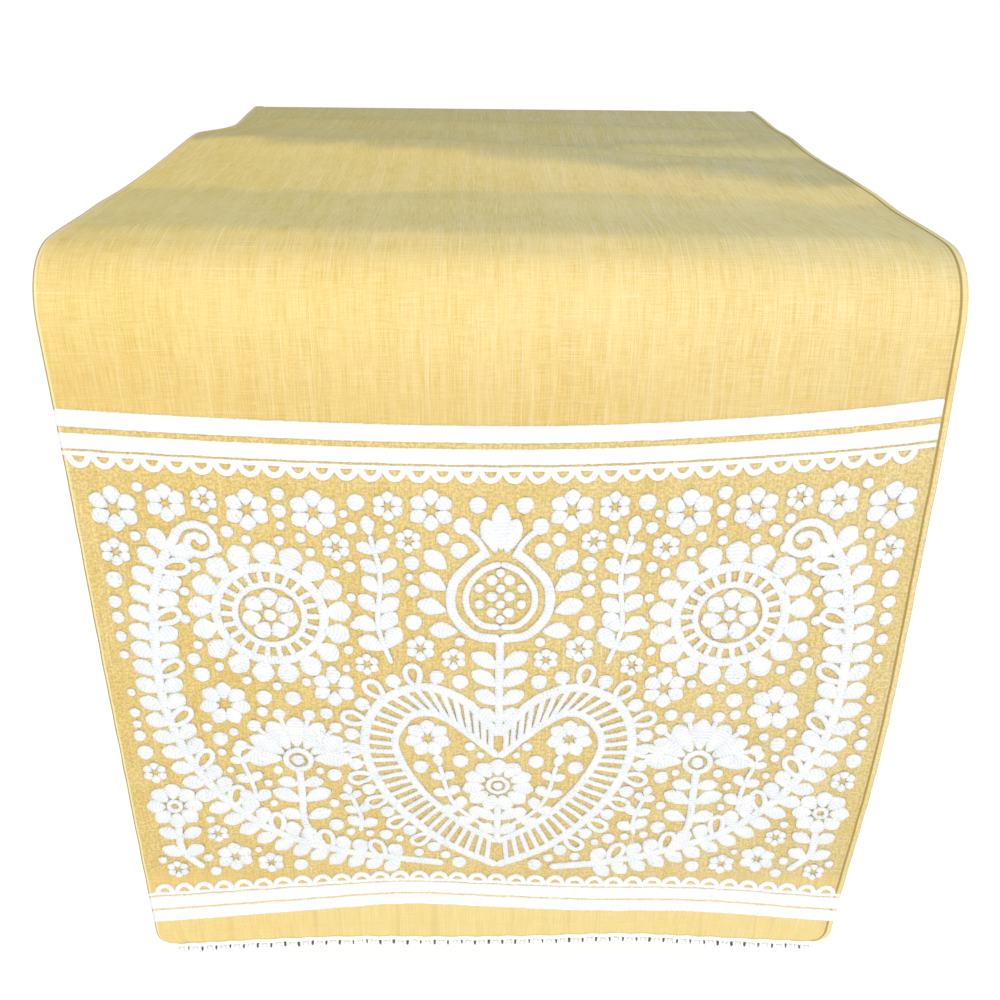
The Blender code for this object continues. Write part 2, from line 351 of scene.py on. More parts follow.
# Painted light and shade in zones of the cloth on the table, darker on the shaded bands and paler on the lit
# slopes of its creases: the near and the far line by their Y at the left and right sides, the places across
# between which it fades in, its tint and its softness
WHOLE_WIDTH = (-0.30, -0.25)
PAINTED_LIGHT_AND_SHADE_ZONES = (
    ((-0.178, -0.216), (-0.086, -0.112), WHOLE_WIDTH, (0.90, 0.955, 0.99, 1), 0.010),
    ((-0.086, -0.112), (0.056, -0.079), WHOLE_WIDTH, (1.050, 1.055, 0.98, 1), 0.010),
    ((0.056, -0.079), (0.300, 0.300), WHOLE_WIDTH, (0.77, 0.83, 0.88, 1), 0.014),
    ((0.000, 0.016), (0.036, 0.052), (0.02, 0.14), (1.20, 1.18, 1.08, 1), 0.014),
    ((0.040, -0.060), (0.054, -0.046), (0.02, 0.07), (0.92, 0.945, 1.0, 1), 0.007),
    ((0.006, 0.074), (0.018, 0.086), (-0.06, 0.01), (0.92, 0.945, 1.0, 1), 0.006),
)


# Paints the light and shade of the creases on the table into the cloth's colour
def painted_crease_light_and_shade(s, place, colour):
    x, y, _ = s.parts(place)
    wander = s.between(s.noise(place, scale=16.0), 0.3, 0.7, -0.008, 0.008)
    for near, far, across, tint, soft in PAINTED_LIGHT_AND_SHADE_ZONES:
        inside = s.between(x, *across)
        for line, way in ((near, 1.0), (far, -1.0)):
            slope = (line[1] - line[0]) / RUNNER_WIDTH
            level = s.plus(s.times(x, slope), (line[0] + line[1]) / 2)
            past = s.plus(s.math("SUBTRACT", y, level), wander)
            inside = s.times(s.between(s.times(past, way), -soft, soft), inside)
        colour = s.mix(inside, colour, tint, "MULTIPLY")
    return colour


# Painted shade: brown dots between the small stitches that hold the edging, along each end of the cloth
END_STITCH = 0.0016
END_STITCH_REACH = 0.0013


def end_stitch_shade(s, place, colour):
    x, y, _ = s.parts(place)
    dots = s.between(s.math("SINE", s.times(x, TURN / END_STITCH)), -0.1, 0.6)
    reach = HALF_LENGTH - END_STITCH_REACH
    near_end = s.between(s.math("ABSOLUTE", y), reach, reach + END_STITCH_REACH / 2)
    # Painted shade between the stitches, in brown
    return s.mix(s.times(s.times(dots, near_end), 0.6), colour, (0.42, 0.30, 0.12, 1))


# Painted light and shade along the cloth, by the distance from the middle of the table: paler over the roll
# where the light falls on it, deeper above and within the stitched panel where shade gathers among the
# raised thread, and pale again below it
LENGTH_LIGHT_AND_SHADE = (
    (0.000, (1.000, 1.000, 1.00, 1)),
    (0.214, (1.000, 1.000, 1.00, 1)),
    (0.240, (0.945, 0.955, 1.00, 1)),
    (0.278, (0.850, 0.832, 0.80, 1)),
    (0.292, (0.850, 0.832, 0.80, 1)),
    (0.302, (0.795, 0.800, 0.82, 1)),
    (0.572, (0.795, 0.800, 0.82, 1)),
    (0.582, (0.900, 0.880, 0.86, 1)),
)
# How much further along the tints come at the sides, times the square of the distance from the middle
BOW_TINT = 0.28
SIDE_TINTS = {"left": (1.02, 0.985, 0.90, 1), "right": (0.99, 1.0, 1.10, 1)}
# The ground of the stitched panel, which looks grainier, and the strip below it, streaked with painted shade
# of small flutes
PANEL_REACH = (0.290, 0.574)
PANEL_SOFT = 0.004
STRIP_REACH = (0.578, 0.584)
STRIP_STRENGTH = 0.45


def tints_and_painted_shade(s, place, colour):
    x, y, _ = s.parts(place)
    out = s.plus(s.math("ABSOLUTE", y), s.times(s.times(x, x), BOW_TINT))
    marks = [(distance / HALF_LENGTH, tint) for distance, tint in LENGTH_LIGHT_AND_SHADE]
    # Painted light over the roll and painted shade above and within the panel
    tint = colour_ramp(s.tree, s.math("DIVIDE", out, HALF_LENGTH), marks)
    colour = s.mix(1.0, colour, tint, "MULTIPLY")
    grainy = s.between(s.noise(place, scale=700.0), 0.36, 0.64, 0.88, 1.14)
    begun, over = (s.between(out, reach - PANEL_SOFT, reach + PANEL_SOFT) for reach in PANEL_REACH)
    colour = s.mix(s.math("SUBTRACT", begun, over), colour, grainy, "MULTIPLY")
    sideways = s.between(x, -HALF_WIDTH, HALF_WIDTH)
    colour = s.mix(1.0, colour, s.mix(sideways, SIDE_TINTS["left"], SIDE_TINTS["right"]), "MULTIPLY")
    strip = s.times(s.between(s.math("ABSOLUTE", y), *STRIP_REACH), STRIP_STRENGTH)
    colour = s.mix(strip, colour, (0.88, 0.74, 0.35, 1))
    # Painted shade of the small flutes, as narrow dark streaks down the strip
    flute_shade = s.between(s.noise(s.stretched(place, (125, 5, 1), (2.0, 0.0, 0.0))), 0.55, 0.68)
    return s.mix(s.times(flute_shade, strip), colour, (0.70, 0.52, 0.20, 1))


# Painted light and shade at the turned edges along the left and right sides of the cloth: a painted
# highlight on the rim and painted shade in the crease, each between two distances from the side and with its
# strength
SIDE_RIM_LIGHT_AND_SHADE = (
    {"side": -1, "pale": (0.0006, 0.0015, 0.65), "dark": (-0.0010, 0.0005, 0.65)},
    {"side": 1, "pale": (-0.0010, 0.0024, 0.22), "dark": (0.0025, 0.0037, 0.85)},
)
RIM_SOFT = 0.0003
RIM_PAINTED_TONES = {"pale": (1.0, 0.88, 0.55, 1), "dark": (0.34, 0.24, 0.07, 1)}


def painted_side_rims(s, place, colour):
    x, _, _ = s.parts(place)
    for rim in SIDE_RIM_LIGHT_AND_SHADE:
        from_side = s.math("SUBTRACT", HALF_WIDTH, s.times(x, rim["side"]))
        for name, tone in RIM_PAINTED_TONES.items():
            start, stop, share = rim[name]
            begun = s.between(from_side, start - RIM_SOFT, start + RIM_SOFT, 0.0, share)
            over = s.between(from_side, stop - RIM_SOFT, stop + RIM_SOFT, 1.0, 0.0)
            # Painted highlight on each rim and painted shade in each crease
            colour = s.mix(s.times(begun, over), colour, tone)
    return colour


def cloth_material():
    s = Shader("yellow_slub_cloth", roughness=0.95, gloss=0.08)
    place = s.place("cloth_place")
    lengthwise = s.noise(s.stretched(place, (1900, 62, 1)), roughness=0.6)
    crosswise = s.noise(s.stretched(place, (85, 1900, 1), (7.0, 3.0, 0.0)), roughness=0.6)
    grain = s.noise(s.stretched(place, (2600, 1700, 1)), detail=1.0)
    long_slubs = s.noise(s.stretched(place, (1050, 9, 1), (3.0, 9.0, 0.0)), roughness=0.6)
    long_slubs = s.between(long_slubs, 0.56, 0.70)
    cross_slubs = s.noise(s.stretched(place, (12, 1100, 1), (11.0, 5.0, 0.0)), roughness=0.6)
    cross_slubs = s.between(cross_slubs, 0.60, 0.72)
    dark_threads = s.between(s.noise(s.stretched(place, (700, 12, 1), (1.0, 17.0, 0.0))), 0.56, 0.74)
    bundles = s.noise(s.stretched(place, (150, 5, 1), (5.0, 2.0, 0.0)))
    patches = s.noise(place, scale=19.0, detail=3.0)
    weave = s.plus(s.times(lengthwise, 0.36), s.times(crosswise, 0.26))
    weave = s.plus(weave, s.times(grain, 0.38))
    colour = s.mix(s.between(weave, 0.35, 0.65), (0.73, 0.51, 0.135, 1), (0.98, 0.81, 0.38, 1))
    for share, tone in (
        (s.between(grain, 0.52, 0.66, 0.0, 0.30), (0.66, 0.45, 0.10, 1)),
        (s.between(patches, 0.35, 0.70, 0.0, 0.25), (0.93, 0.77, 0.40, 1)),
        (s.between(bundles, 0.40, 0.66, 0.0, 0.18), (0.99, 0.85, 0.46, 1)),
        (s.times(dark_threads, 0.20), (0.74, 0.56, 0.20, 1)),
        (s.times(long_slubs, 0.48), (1.0, 0.90, 0.56, 1)),
        (s.times(cross_slubs, 0.46), (1.0, 0.89, 0.54, 1)),
    ):
        colour = s.mix(share, colour, tone)
    # Painted light and shade of the creases, the roll, the panel, the side rims and the end stitches, with
    # the cloth's own tints
    for changed in (painted_crease_light_and_shade, tints_and_painted_shade, painted_side_rims, end_stitch_shade):
        colour = changed(s, place, colour)
    slubs = s.plus(s.times(long_slubs, 0.45), s.times(cross_slubs, 0.35))
    return s.finish(colour, s.plus(weave, slubs), depth=0.00028, strength=0.7)


# The rows of stitches across a line of thread, how far on each comes at the line's sides, and the width of
# the painted shade along the thread's foot
STITCH_SPACING = 0.0019
STITCH_LEAN = 0.0009
FOOT_SHADE_WIDTH = 0.0005


def stitch_material(name, hollows, tops, speckled):
    """White thread, with painted light on its rows and painted shade between them, in clouds, in specks and
    at its foot. speckled is the strength of the dark specks.
    """
    s = Shader(name, roughness=0.92, gloss=0.12)
    across, along, from_edge = s.parts(s.place("stitch_place"))
    place = s.object_place()
    leaning = s.plus(along, s.times(s.math("ABSOLUTE", across), STITCH_LEAN))
    rows = s.between(s.math("SINE", s.times(leaning, TURN / STITCH_SPACING)), -1.0, 0.4)
    fibres = s.noise(place, scale=1300.0)
    clouds = s.noise(place, scale=120.0, detail=3.0)
    speck_patches = s.between(s.noise(place, scale=75.0), 0.43, 0.60)
    specks = s.between(s.noise(place, scale=950.0), 0.60, 0.70)
    # Painted shade in soft clouds and in the grooves between the rows of stitches, with painted light on the
    # rows
    colour = s.mix(s.between(clouds, 0.38, 0.62), hollows, tops)
    colour = s.mix(s.times(rows, 0.45), s.mix(0.5, colour, s.mix(0.4, hollows, tops)), tops)
    # Painted shade in small bluish pits, in patches
    specks = s.times(specks, s.times(speck_patches, speckled))
    colour = s.mix(specks, colour, (0.46, 0.52, 0.64, 1))
    # Painted shade along the thread's foot, where it meets the cloth
    uneven = s.between(s.noise(place, scale=420.0), 0.36, 0.60, 0.35, 0.95)
    edge = s.between(from_edge, 0.0, FOOT_SHADE_WIDTH, 1.0, 0.0)
    colour = s.mix(s.times(edge, uneven), colour, (0.46, 0.42, 0.35, 1))
    height = s.plus(s.times(rows, 0.6), s.times(fibres, 0.8))
    return s.finish(colour, height, depth=0.00034, strength=0.8)


def cord_material():
    """The smoother white cord of the edging, painted near-black on the ovals of shade between the picots."""
    s = Shader("white_cord", roughness=0.95, gloss=0.08)
    _, _, from_edge = s.parts(s.place("stitch_place"))
    clouds = s.between(s.noise(s.object_place(), scale=260.0), 0.40, 0.62)
    colour = s.mix(clouds, (0.93, 0.95, 0.97, 1), (0.98, 0.985, 0.98, 1))
    # Painted shade: near-black where the ovals between the picots are
    colour = s.mix(s.between(from_edge, -0.0008, -0.0004, 0.94, 0.0), colour, (0.06, 0.06, 0.065, 1))
    return s.finish(colour)


def wood_material(name, grain):
    """Pale oiled wood. grain is the axis that it runs along."""
    s = Shader(name, roughness=0.48)
    scale = [95.0, 95.0, 95.0]
    scale[grain] = 5.0
    fine = [900.0, 900.0, 900.0]
    fine[grain] = 22.0
    place = s.object_place()
    rings = s.noise(s.stretched(place, scale), detail=4.0, roughness=0.6)
    pores = s.noise(s.stretched(place, fine))
    colour = s.mix(s.between(rings, 0.32, 0.68), (0.56, 0.39, 0.24, 1), (0.74, 0.57, 0.38, 1))
    colour = s.mix(s.between(pores, 0.58, 0.75, 0.0, 0.4), colour, (0.42, 0.28, 0.17, 1))
    return s.finish(colour, s.plus(rings, pores), depth=0.0002, strength=0.35)


# Objects

def link(name, data):
    made = bpy.data.objects.new(name, data)
    bpy.context.scene.collection.objects.link(made)
    return made


def link_mesh(name, points, faces, material, attribute, values):
    mesh = bpy.data.meshes.new(name)
    mesh.from_pydata(points.tolist(), [], faces)
    mesh.polygons.foreach_set("use_smooth", np.ones(len(mesh.polygons), bool))
    stored = mesh.attributes.new(attribute, "FLOAT_VECTOR", "POINT")
    stored.data.foreach_set("vector", np.ascontiguousarray(values, np.float32).ravel())
    mesh.materials.append(material)
    mesh.update()
    return link(name, mesh)


# The runner itself

def cloth_columns():
    seam = (SIDE_HEM - SEAM_WIDTH / 2, SIDE_HEM, SIDE_HEM + SEAM_WIDTH / 2, SIDE_HEM + 2 * SEAM_WIDTH)
    hem = np.array([0.0, 0.0012, 0.0028, 0.0042, *seam])
    inner = HALF_WIDTH - hem[-1]
    field = np.linspace(-inner, inner, round(2 * inner / COLUMN_SPACING) + 1)[1:-1]
    return np.concatenate([hem - HALF_WIDTH, field, (HALF_WIDTH - hem)[::-1]]) / HALF_WIDTH


def cloth_rows():
    seam = END_HEM + np.array([-SEAM_WIDTH / 2, 0.0, SEAM_WIDTH / 2])
    turn = np.radians(np.linspace(0, 90, 7))
    corner = CORNER_RADIUS * (1 - np.sin(turn))
    roll = ROLL_START + ROLL_LENGTH * np.linspace(0, 1, 19)
    middle = np.linspace(0, ROLL_START, round(ROLL_START / ROW_SPACING) + 1)[:-1]
    drop = HALF_LENGTH - roll[-1]
    hang = np.linspace(CORNER_RADIUS, drop, round(drop / ROW_SPACING))[:-1]
    hanging = HALF_LENGTH - np.concatenate([hang, seam, corner])
    outs = np.unique(np.round(np.concatenate([middle, roll, hanging]), 6))
    return np.concatenate([-outs[:0:-1], outs])


def hem_shape(from_side, from_end):
    """How far the right side stands up where the hems are turned in, with their seams pressed in."""
    inside = np.minimum(from_side - SIDE_HEM, from_end - END_HEM)
    rise = HEM_RISE * smooth_step(-inside / SEAM_WIDTH + 0.5)
    seam = SEAM_DEPTH * bell(inside / (0.6 * SEAM_WIDTH))
    return rise - seam


def build_cloth(material):
    across, along = np.meshgrid(cloth_columns(), cloth_rows())
    middle = sheet_points(across, along, rounded=True)
    normals = sheet_normals(across, along)
    from_side = HALF_WIDTH * (1 - np.abs(across))
    from_end = HALF_LENGTH - np.abs(along)
    hems = hem_shape(from_side, from_end)
    into_hem = np.maximum(SIDE_HEM - from_side, END_HEM - from_end)
    hemmed = smooth_step(into_hem / SEAM_WIDTH + 1)
    above = middle + (CLOTH_THICKNESS / 2 + hems)[..., None] * normals
    below = middle - (UNDERSIDE + (CLOTH_THICKNESS / 2 - UNDERSIDE) * hemmed)[..., None] * normals
    rows, columns = across.shape
    count = rows * columns
    number = np.arange(count).reshape(rows, columns)
    corners = (number[:-1, :-1], number[:-1, 1:], number[1:, 1:], number[1:, :-1])
    top = np.stack(corners, axis=-1).reshape(-1, 4)
    bottom = top[:, ::-1] + count
    rim = np.concatenate([number[0, :-1], number[:-1, -1], number[-1, :0:-1], number[:0:-1, 0]])
    following = np.roll(rim, -1)
    walls = np.stack([rim, rim + count, following + count, following], axis=-1)
    faces = np.concatenate([top, bottom, walls]).tolist()
    points = np.concatenate([above.reshape(-1, 3), below.reshape(-1, 3)])
    flat = np.stack([across * HALF_WIDTH, along, np.zeros_like(across)], axis=-1).reshape(-1, 3)
    made = link_mesh("runner", points, faces, material, "cloth_place", np.concatenate([flat, flat]))
    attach(made, "root")
    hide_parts("runner_cloth")
    return made


# Thread laid on the cloth

# A strand's section: places across it as shares of half its width, and their heights as shares
SECTION_ACROSS = np.array([-1.0, -0.88, -0.48, 0.0, 0.48, 0.88, 1.0])
SECTION_HEIGHT = np.array([-0.22, 0.55, 0.92, 1.0, 0.92, 0.55, -0.22])
THREAD_HEIGHT = 0.00125
# How uneven the thread is: its edges, its height from place to place, and its height as a whole
EDGE_UNEVEN = 0.055
HEIGHT_UNEVEN = 0.10
STROKE_UNEVEN = 0.07


def flat_points(x, y):
    return np.stack(np.broadcast_arrays(x, y), axis=1)


def run_along(path):
    """How far along the path each of its points is."""
    return np.concatenate([[0.0], np.cumsum(np.linalg.norm(np.diff(path, axis=0), axis=1))])


def widened(path, reach, closed):
    """Places to the left and right of each point of a path, by their reach to the left."""
    if closed:
        ahead = np.roll(path, -1, axis=0) - np.roll(path, 1, axis=0)
    else:
        ahead = np.gradient(path, axis=0)
    ahead = ahead / np.maximum(np.linalg.norm(ahead, axis=1, keepdims=True), 1e-9)
    aside = flat_points(-ahead[:, 1], ahead[:, 0])
    return path[:, None, :] + reach[..., None] * aside[:, None, :]


def strand_faces(first, count, ring, closed):
    """Faces of one strand whose rings start at point number first."""
    numbers = first + np.arange(count * ring).reshape(count, ring)
    following = np.roll(numbers, -1, axis=0) if closed else numbers[1:]
    current = numbers if closed else numbers[:-1]
    corners = (current, np.roll(current, -1, axis=1), np.roll(following, -1, axis=1), following)
    faces = np.stack(corners, axis=-1).reshape(-1, 4).tolist()
    if not closed:
        faces += [numbers[0, ::-1].tolist(), numbers[-1].tolist()]
    return faces


def join_strands(name, strands, end, material, lay):
    """One piece of strands, each its rings' flat places, their lifts, their stitch places and whether
    it joins up. lay puts flat places and lifts on the cloth."""
    faces = []
    total = 0
    for flat, _, _, closed in strands:
        count, ring = flat.shape[:2]
        faces += strand_faces(total, count, ring, closed)
        total += count * ring
    if end > 0:
        faces = [face[::-1] for face in faces]
    flat = np.concatenate([strand[0].reshape(-1, 2) for strand in strands])
    lifts = np.concatenate([strand[1].ravel() for strand in strands])
    places = np.concatenate([strand[2].reshape(-1, 3) for strand in strands])
    piece = link_mesh(name, lay(flat, lifts), faces, material, "stitch_place", places)
    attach(piece, "root")
    return piece


def stitch_places(across, run, from_edge):
    return np.stack(np.broadcast_arrays(across, run[:, None], from_edge), axis=-1)


def lay_thread(name, strokes, end, foot, material, seed, soft_edge=0.0):
    """Strokes, drawn in millimetres with y up from foot, laid on a hanging end as raised strands."""
    random = np.random.default_rng(seed)
    from_side = 1 - np.abs(SECTION_ACROSS)
    strands = []
    for path, widths, closed in strokes:
        count = len(path)
        uneven = 1 + EDGE_UNEVEN * random.standard_normal((count, len(SECTION_ACROSS)))
        flat = widened(path, 0.5 * widths[:, None] * SECTION_ACROSS * uneven, closed)
        full = THREAD_HEIGHT * np.clip(0.55 + 0.15 * widths, 0.5, 1.12)[:, None]
        level = 1 + HEIGHT_UNEVEN * random.standard_normal((count, 1))
        level = level + STROKE_UNEVEN * random.standard_normal()
        run = run_along(path) * MM
        if closed:
            run = np.minimum(run, 2 * run[-1] - run[-2] - run)
        places = stitch_places(SECTION_ACROSS, run, from_side * widths[:, None] / 2 * MM + soft_edge)
        strands.append((flat, full * SECTION_HEIGHT * level, places, closed))

    def lay(flat, lifts):
        return on_panel(flat[:, 0], flat[:, 1] + foot, end, lifts)

    return join_strands(name, strands, end, material, lay)


# Drawing

LINE = 3.3
THIN = 2.6
DRAW_STEP = 1.25


def bearing(degrees):
    return np.array([math.cos(math.radians(degrees)), math.sin(math.radians(degrees))])


def evenly(points):
    points = np.asarray(points, float)
    lengths = run_along(points)
    places = np.linspace(0, lengths[-1], max(3, round(lengths[-1] / DRAW_STEP) + 1))
    return np.stack([np.interp(places, lengths, points[:, axis]) for axis in (0, 1)], axis=1)


def oval(centre, height, width, count, reach=75, lean=(0.0, 1.0)):
    """A filled oval, as a path and the width at each of its points."""
    share = np.sin(np.radians(np.linspace(-reach, reach, count)))
    return centre + 0.5 * height * share[:, None] * np.asarray(lean), width * np.sqrt(1 - share**2)


def through(*points):
    """A smooth curve through the points."""
    points = np.asarray(points, float)
    knots = np.vstack([2 * points[0] - points[1], points, 2 * points[-1] - points[-2]])
    share = np.linspace(0, 1, 16, endpoint=False)[:, None]
    pieces = []
    for a, b, c, d in zip(knots, knots[1:], knots[2:], knots[3:]):
        bend = (2 * a - 5 * b + 4 * c - d) * share**2 + (3 * b - a - 3 * c + d) * share**3
        pieces.append(0.5 * (2 * b + (c - a) * share + bend))
    return evenly(np.vstack(pieces + [points[-1:]]))


def point_at(path, share):
    """The point a share of the way along the path, and the direction there in degrees."""
    number = min(len(path) - 2, int(share * (len(path) - 1)))
    ahead = path[number + 1] - path[number]
    point = path[number] + ahead * (share * (len(path) - 1) - number)
    return point, math.degrees(math.atan2(ahead[1], ahead[0]))


def on_side(towards, side):
    """A direction in degrees on the right half of the panel, as it is on the given side."""
    return towards if side > 0 else 180 - towards


class Drawing:
    """Strokes, each a path, the width at each of its points, and whether it joins up."""

    def __init__(self):
        self.strokes = []

    def add(self, path, widths, closed=False):
        self.strokes.append((np.asarray(path, float), np.asarray(widths, float), closed))

    def line(self, path, width=LINE):
        path = evenly(path)
        place = run_along(path)
        blunt = np.clip(np.minimum(place, place[-1] - place) / (width / 2), 0.0, 1.0)
        self.add(path, width * np.sqrt(np.clip(1 - (1 - blunt) ** 2, 0.15, 1.0)))

    def ring(self, centre, radius, width=LINE):
        count = max(12, round(TURN * radius / DRAW_STEP))
        turn = np.linspace(0, TURN, count, endpoint=False)
        path = centre + radius * flat_points(np.cos(turn), np.sin(turn))
        self.add(path, np.full(count, width), closed=True)

    def dot(self, centre, radius):
        self.add(*oval(centre, 2 * radius, 2 * radius, 6, reach=78))

    def petal(self, base, towards, length, width):
        """A filled petal, narrow at its base and round at its tip."""
        share = np.sin(np.radians(np.linspace(4, 84, max(7, round(length / DRAW_STEP)))))
        path = base + length * share[:, None] * bearing(towards)
        self.add(path, width * np.sin(math.pi * share**1.35) ** 0.72)

    def loop(self, base, towards, length, width, line=THIN):
        """An open petal, drawn round its edge."""
        count = max(12, round(2.2 * length / DRAW_STEP))
        turn = np.linspace(0, TURN, count, endpoint=False)
        ahead = length * (0.5 - 0.5 * np.cos(turn))
        aside = 0.5 * width * np.sin(turn) * (0.55 + 0.45 * (ahead / length))
        path = base + ahead[:, None] * bearing(towards) + aside[:, None] * bearing(towards + 90)
        self.add(path, np.full(count, line), closed=True)

    def curl(self, start, towards, radius, side, turns, width):
        """A line that winds inwards from its start to a dot. side is 1 to wind to the left."""
        count = round(TURN * turns * radius * 0.62 / DRAW_STEP)
        sweep = np.linspace(0, TURN * turns, count)
        reach = radius * (1 - 0.74 * sweep / sweep[-1])
        middle = start + radius * bearing(towards + 90 * side)
        angle = math.radians(towards - 90 * side) + side * sweep
        path = middle + reach[:, None] * flat_points(np.cos(angle), np.sin(angle))
        self.line(path, width)
        self.dot(path[-1], width * 0.75)

    def stalked_dot(self, base, towards, length, radius):
        tip = base + length * bearing(towards)
        self.line([base, tip], THIN)
        self.dot(tip, radius)

    def daisy(self, centre, inner, outer, count, width):
        for number in range(count):
            towards = 90 + 360 * number / count
            self.petal(centre + inner * bearing(towards), towards, outer - inner, width)

    def sprig(self, path, pairs, length, width, last=0.86):
        """A stem with pairs of leaves, smaller towards its tip, and one leaf there."""
        spread, first, taper = 48, 0.12, 0.7
        path = evenly(path)
        self.line(path, THIN)
        for number in range(pairs):
            done = number / max(1, pairs - 1)
            size = 1 - (1 - taper) * done
            place, towards = point_at(path, first + (last - first) * done)
            for side in (1, -1):
                self.petal(place, towards + side * spread, length * size, width * size)
        place, towards = point_at(path, 1.0)
        self.petal(place - bearing(towards), towards, length * taper * 1.1, width * taper)


# The stitched picture: a heart and a pomegranate on one stem, sun wheels, fan flowers and a leafy vine

def draw_stem(s):
    s.line([(0, 27), (0, 54)], 4.0)
    for height, size in ((32, 12.5), (43, 15)):
        for side in (1, -1):
            s.petal((0, height), 90 - side * 54, size, 8.6)
    s.daisy((0, 70), 6.5, 19.5, 11, 9.8)
    s.ring((0, 70), 5.2, THIN)
    s.dot((0, 70), 2.6)
    s.line([(0, 106), (0, 166)], 4.4)
    for height, size in ((115, 13), (126, 15), (137, 17), (148, 17)):
        for side in (1, -1):
            s.petal((0, height), 90 - side * 56, size, 9.2)


def draw_pomegranate(s, side):
    mirror = (side, 1)
    s.line(through((0, 166), (13, 168), (23, 180), (23, 196), (14, 208), (7, 214)) * mirror, 5.0)
    s.line(through((0, 172.5), (9, 174), (16, 183), (16, 194), (9, 204), (0, 208)) * mirror, LINE)
    for height in (181, 190, 199):
        s.dot((side * 4.2, height), 2.9)
    s.dot((side * 10.2, 185.5), 2.6)
    s.dot((side * 10.2, 194.5), 2.6)
    s.petal((side * 2, 213), 90 - side * 17, 20, 9.4)
    s.line(through((side * 6, 211), (side * 11, 220), (side * 17, 226)), LINE)
    s.dot((side * 18.5, 228), 4.4)
    for height, length, lean in ((170, 15, 88), (181, 16, 72), (193, 16, 58), (204, 15, 46)):
        base = np.array((side * (25.5 if height > 172 else 20), height))
        s.petal(base, 90 - side * lean, length, 9.6)


def draw_heart(s, side):
    """Half of a heart with rungs between its two lines, a fringe outside it and sprigs inside."""
    mirror = (side, 1)
    outer = through((0, 5), (30, 24), (58, 58), (70, 95), (62, 124), (40, 136), (18, 128), (0, 106))
    inner = through((0, 25), (21, 41), (42, 67), (54, 96), (49, 113), (38, 120), (24, 114), (0, 91))
    s.line(outer * mirror, 5.2)
    s.line(inner * mirror, 4.4)
    for share in np.linspace(0.03, 0.97, 32):
        s.line([point_at(inner, share)[0] * mirror, point_at(outer, share)[0] * mirror], 2.9)
    for number, share in enumerate(np.linspace(0.16, 0.80, 17)):
        place, towards = point_at(outer, share)
        place = (place + 1.6 * bearing(towards - 90)) * mirror
        away = on_side(towards - 90, side)
        if number % 2:
            s.loop(place, away, 12.0, 9.0, 3.0)
        else:
            s.stalked_dot(place, away, 5.6, 4.1)
    s.sprig(through((7, 38), (24, 56), (31, 84)) * mirror, 4, 12.0, 8.2, last=0.8)
    s.daisy((side * 37, 103), 1.8, 12.5, 7, 8.2)
    s.dot((side * 15, 98), 3.0)


def draw_wheel(s, side):
    """A sun wheel with spokes, a ring of petals and a flower in its middle."""
    centre = np.array((side * 113.0, 176.0))
    s.daisy(centre, 26.0, 40.5, 17, 11.8)
    s.ring(centre, 26.5, 5.0)
    for number in range(22):
        towards = 360 / 22 * number
        s.line([centre + reach * bearing(towards) for reach in (17, 25)], 2.9)
    s.ring(centre, 17, LINE)
    s.daisy(centre, 3.8, 14.4, 7, 9.4)
    s.dot(centre, 3.4)
    for number in range(17):
        towards = 90 + 360 / 17 * (number + 0.5)
        s.dot(centre + 42.0 * bearing(towards), 2.6)


def draw_vine(s, side):
    """The branch along the foot and up the side, with leaves, open petals and a curl."""
    mirror = (side, 1)
    vine = through((30, 5), (58, 9), (92, 18), (128, 37), (156, 70), (171, 112), (172, 156),
                   (166, 194), (152, 222))
    s.line(vine * mirror, 5.0)
    for number, share in enumerate(np.linspace(0.08, 0.95, 27)):
        place, towards = point_at(vine, share)
        for lean in (-58, 58):
            away = on_side(towards + lean, side)
            if lean > 0 and number % 3 == 1:
                s.loop(place * mirror, away, 14.5, 8.8, 3.0)
            else:
                s.petal(place * mirror, away, 14.0, 9.4)
    tip, towards = point_at(vine, 1.0)
    towards = on_side(towards, side)
    s.curl(tip * mirror - 3 * bearing(towards), towards, 10.5, side, turns=1.3, width=4.0)


def draw_fan_flower(s, side):
    """A fan flower on a stalk between the heart and the vine."""
    mirror = (side, 1)
    s.line(through((99, 22), (106, 40), (106, 62), (106, 80)) * mirror, 4.2)
    centre = np.array((side * 106.0, 86.0))
    for number in range(7):
        towards = 90 + (number - 3) * 29
        s.petal(centre + 7 * bearing(towards), towards, 22, 11.6)
    for number in range(6):
        towards = 90 + (number - 2.5) * 29
        s.stalked_dot(centre + 19 * bearing(towards), towards, 12, 3.6)
    s.ring(centre, 6.6, LINE)
    s.dot(centre, 3.4)
    for lean in (1, -1):
        s.petal((side * 106, 56), 90 + lean * 62, 18, 9.8)
        s.petal((side * 105, 43), 90 + lean * 66, 15, 9.0)
        s.petal((side * 106, 68), 90 + lean * 74, 13, 8.0)


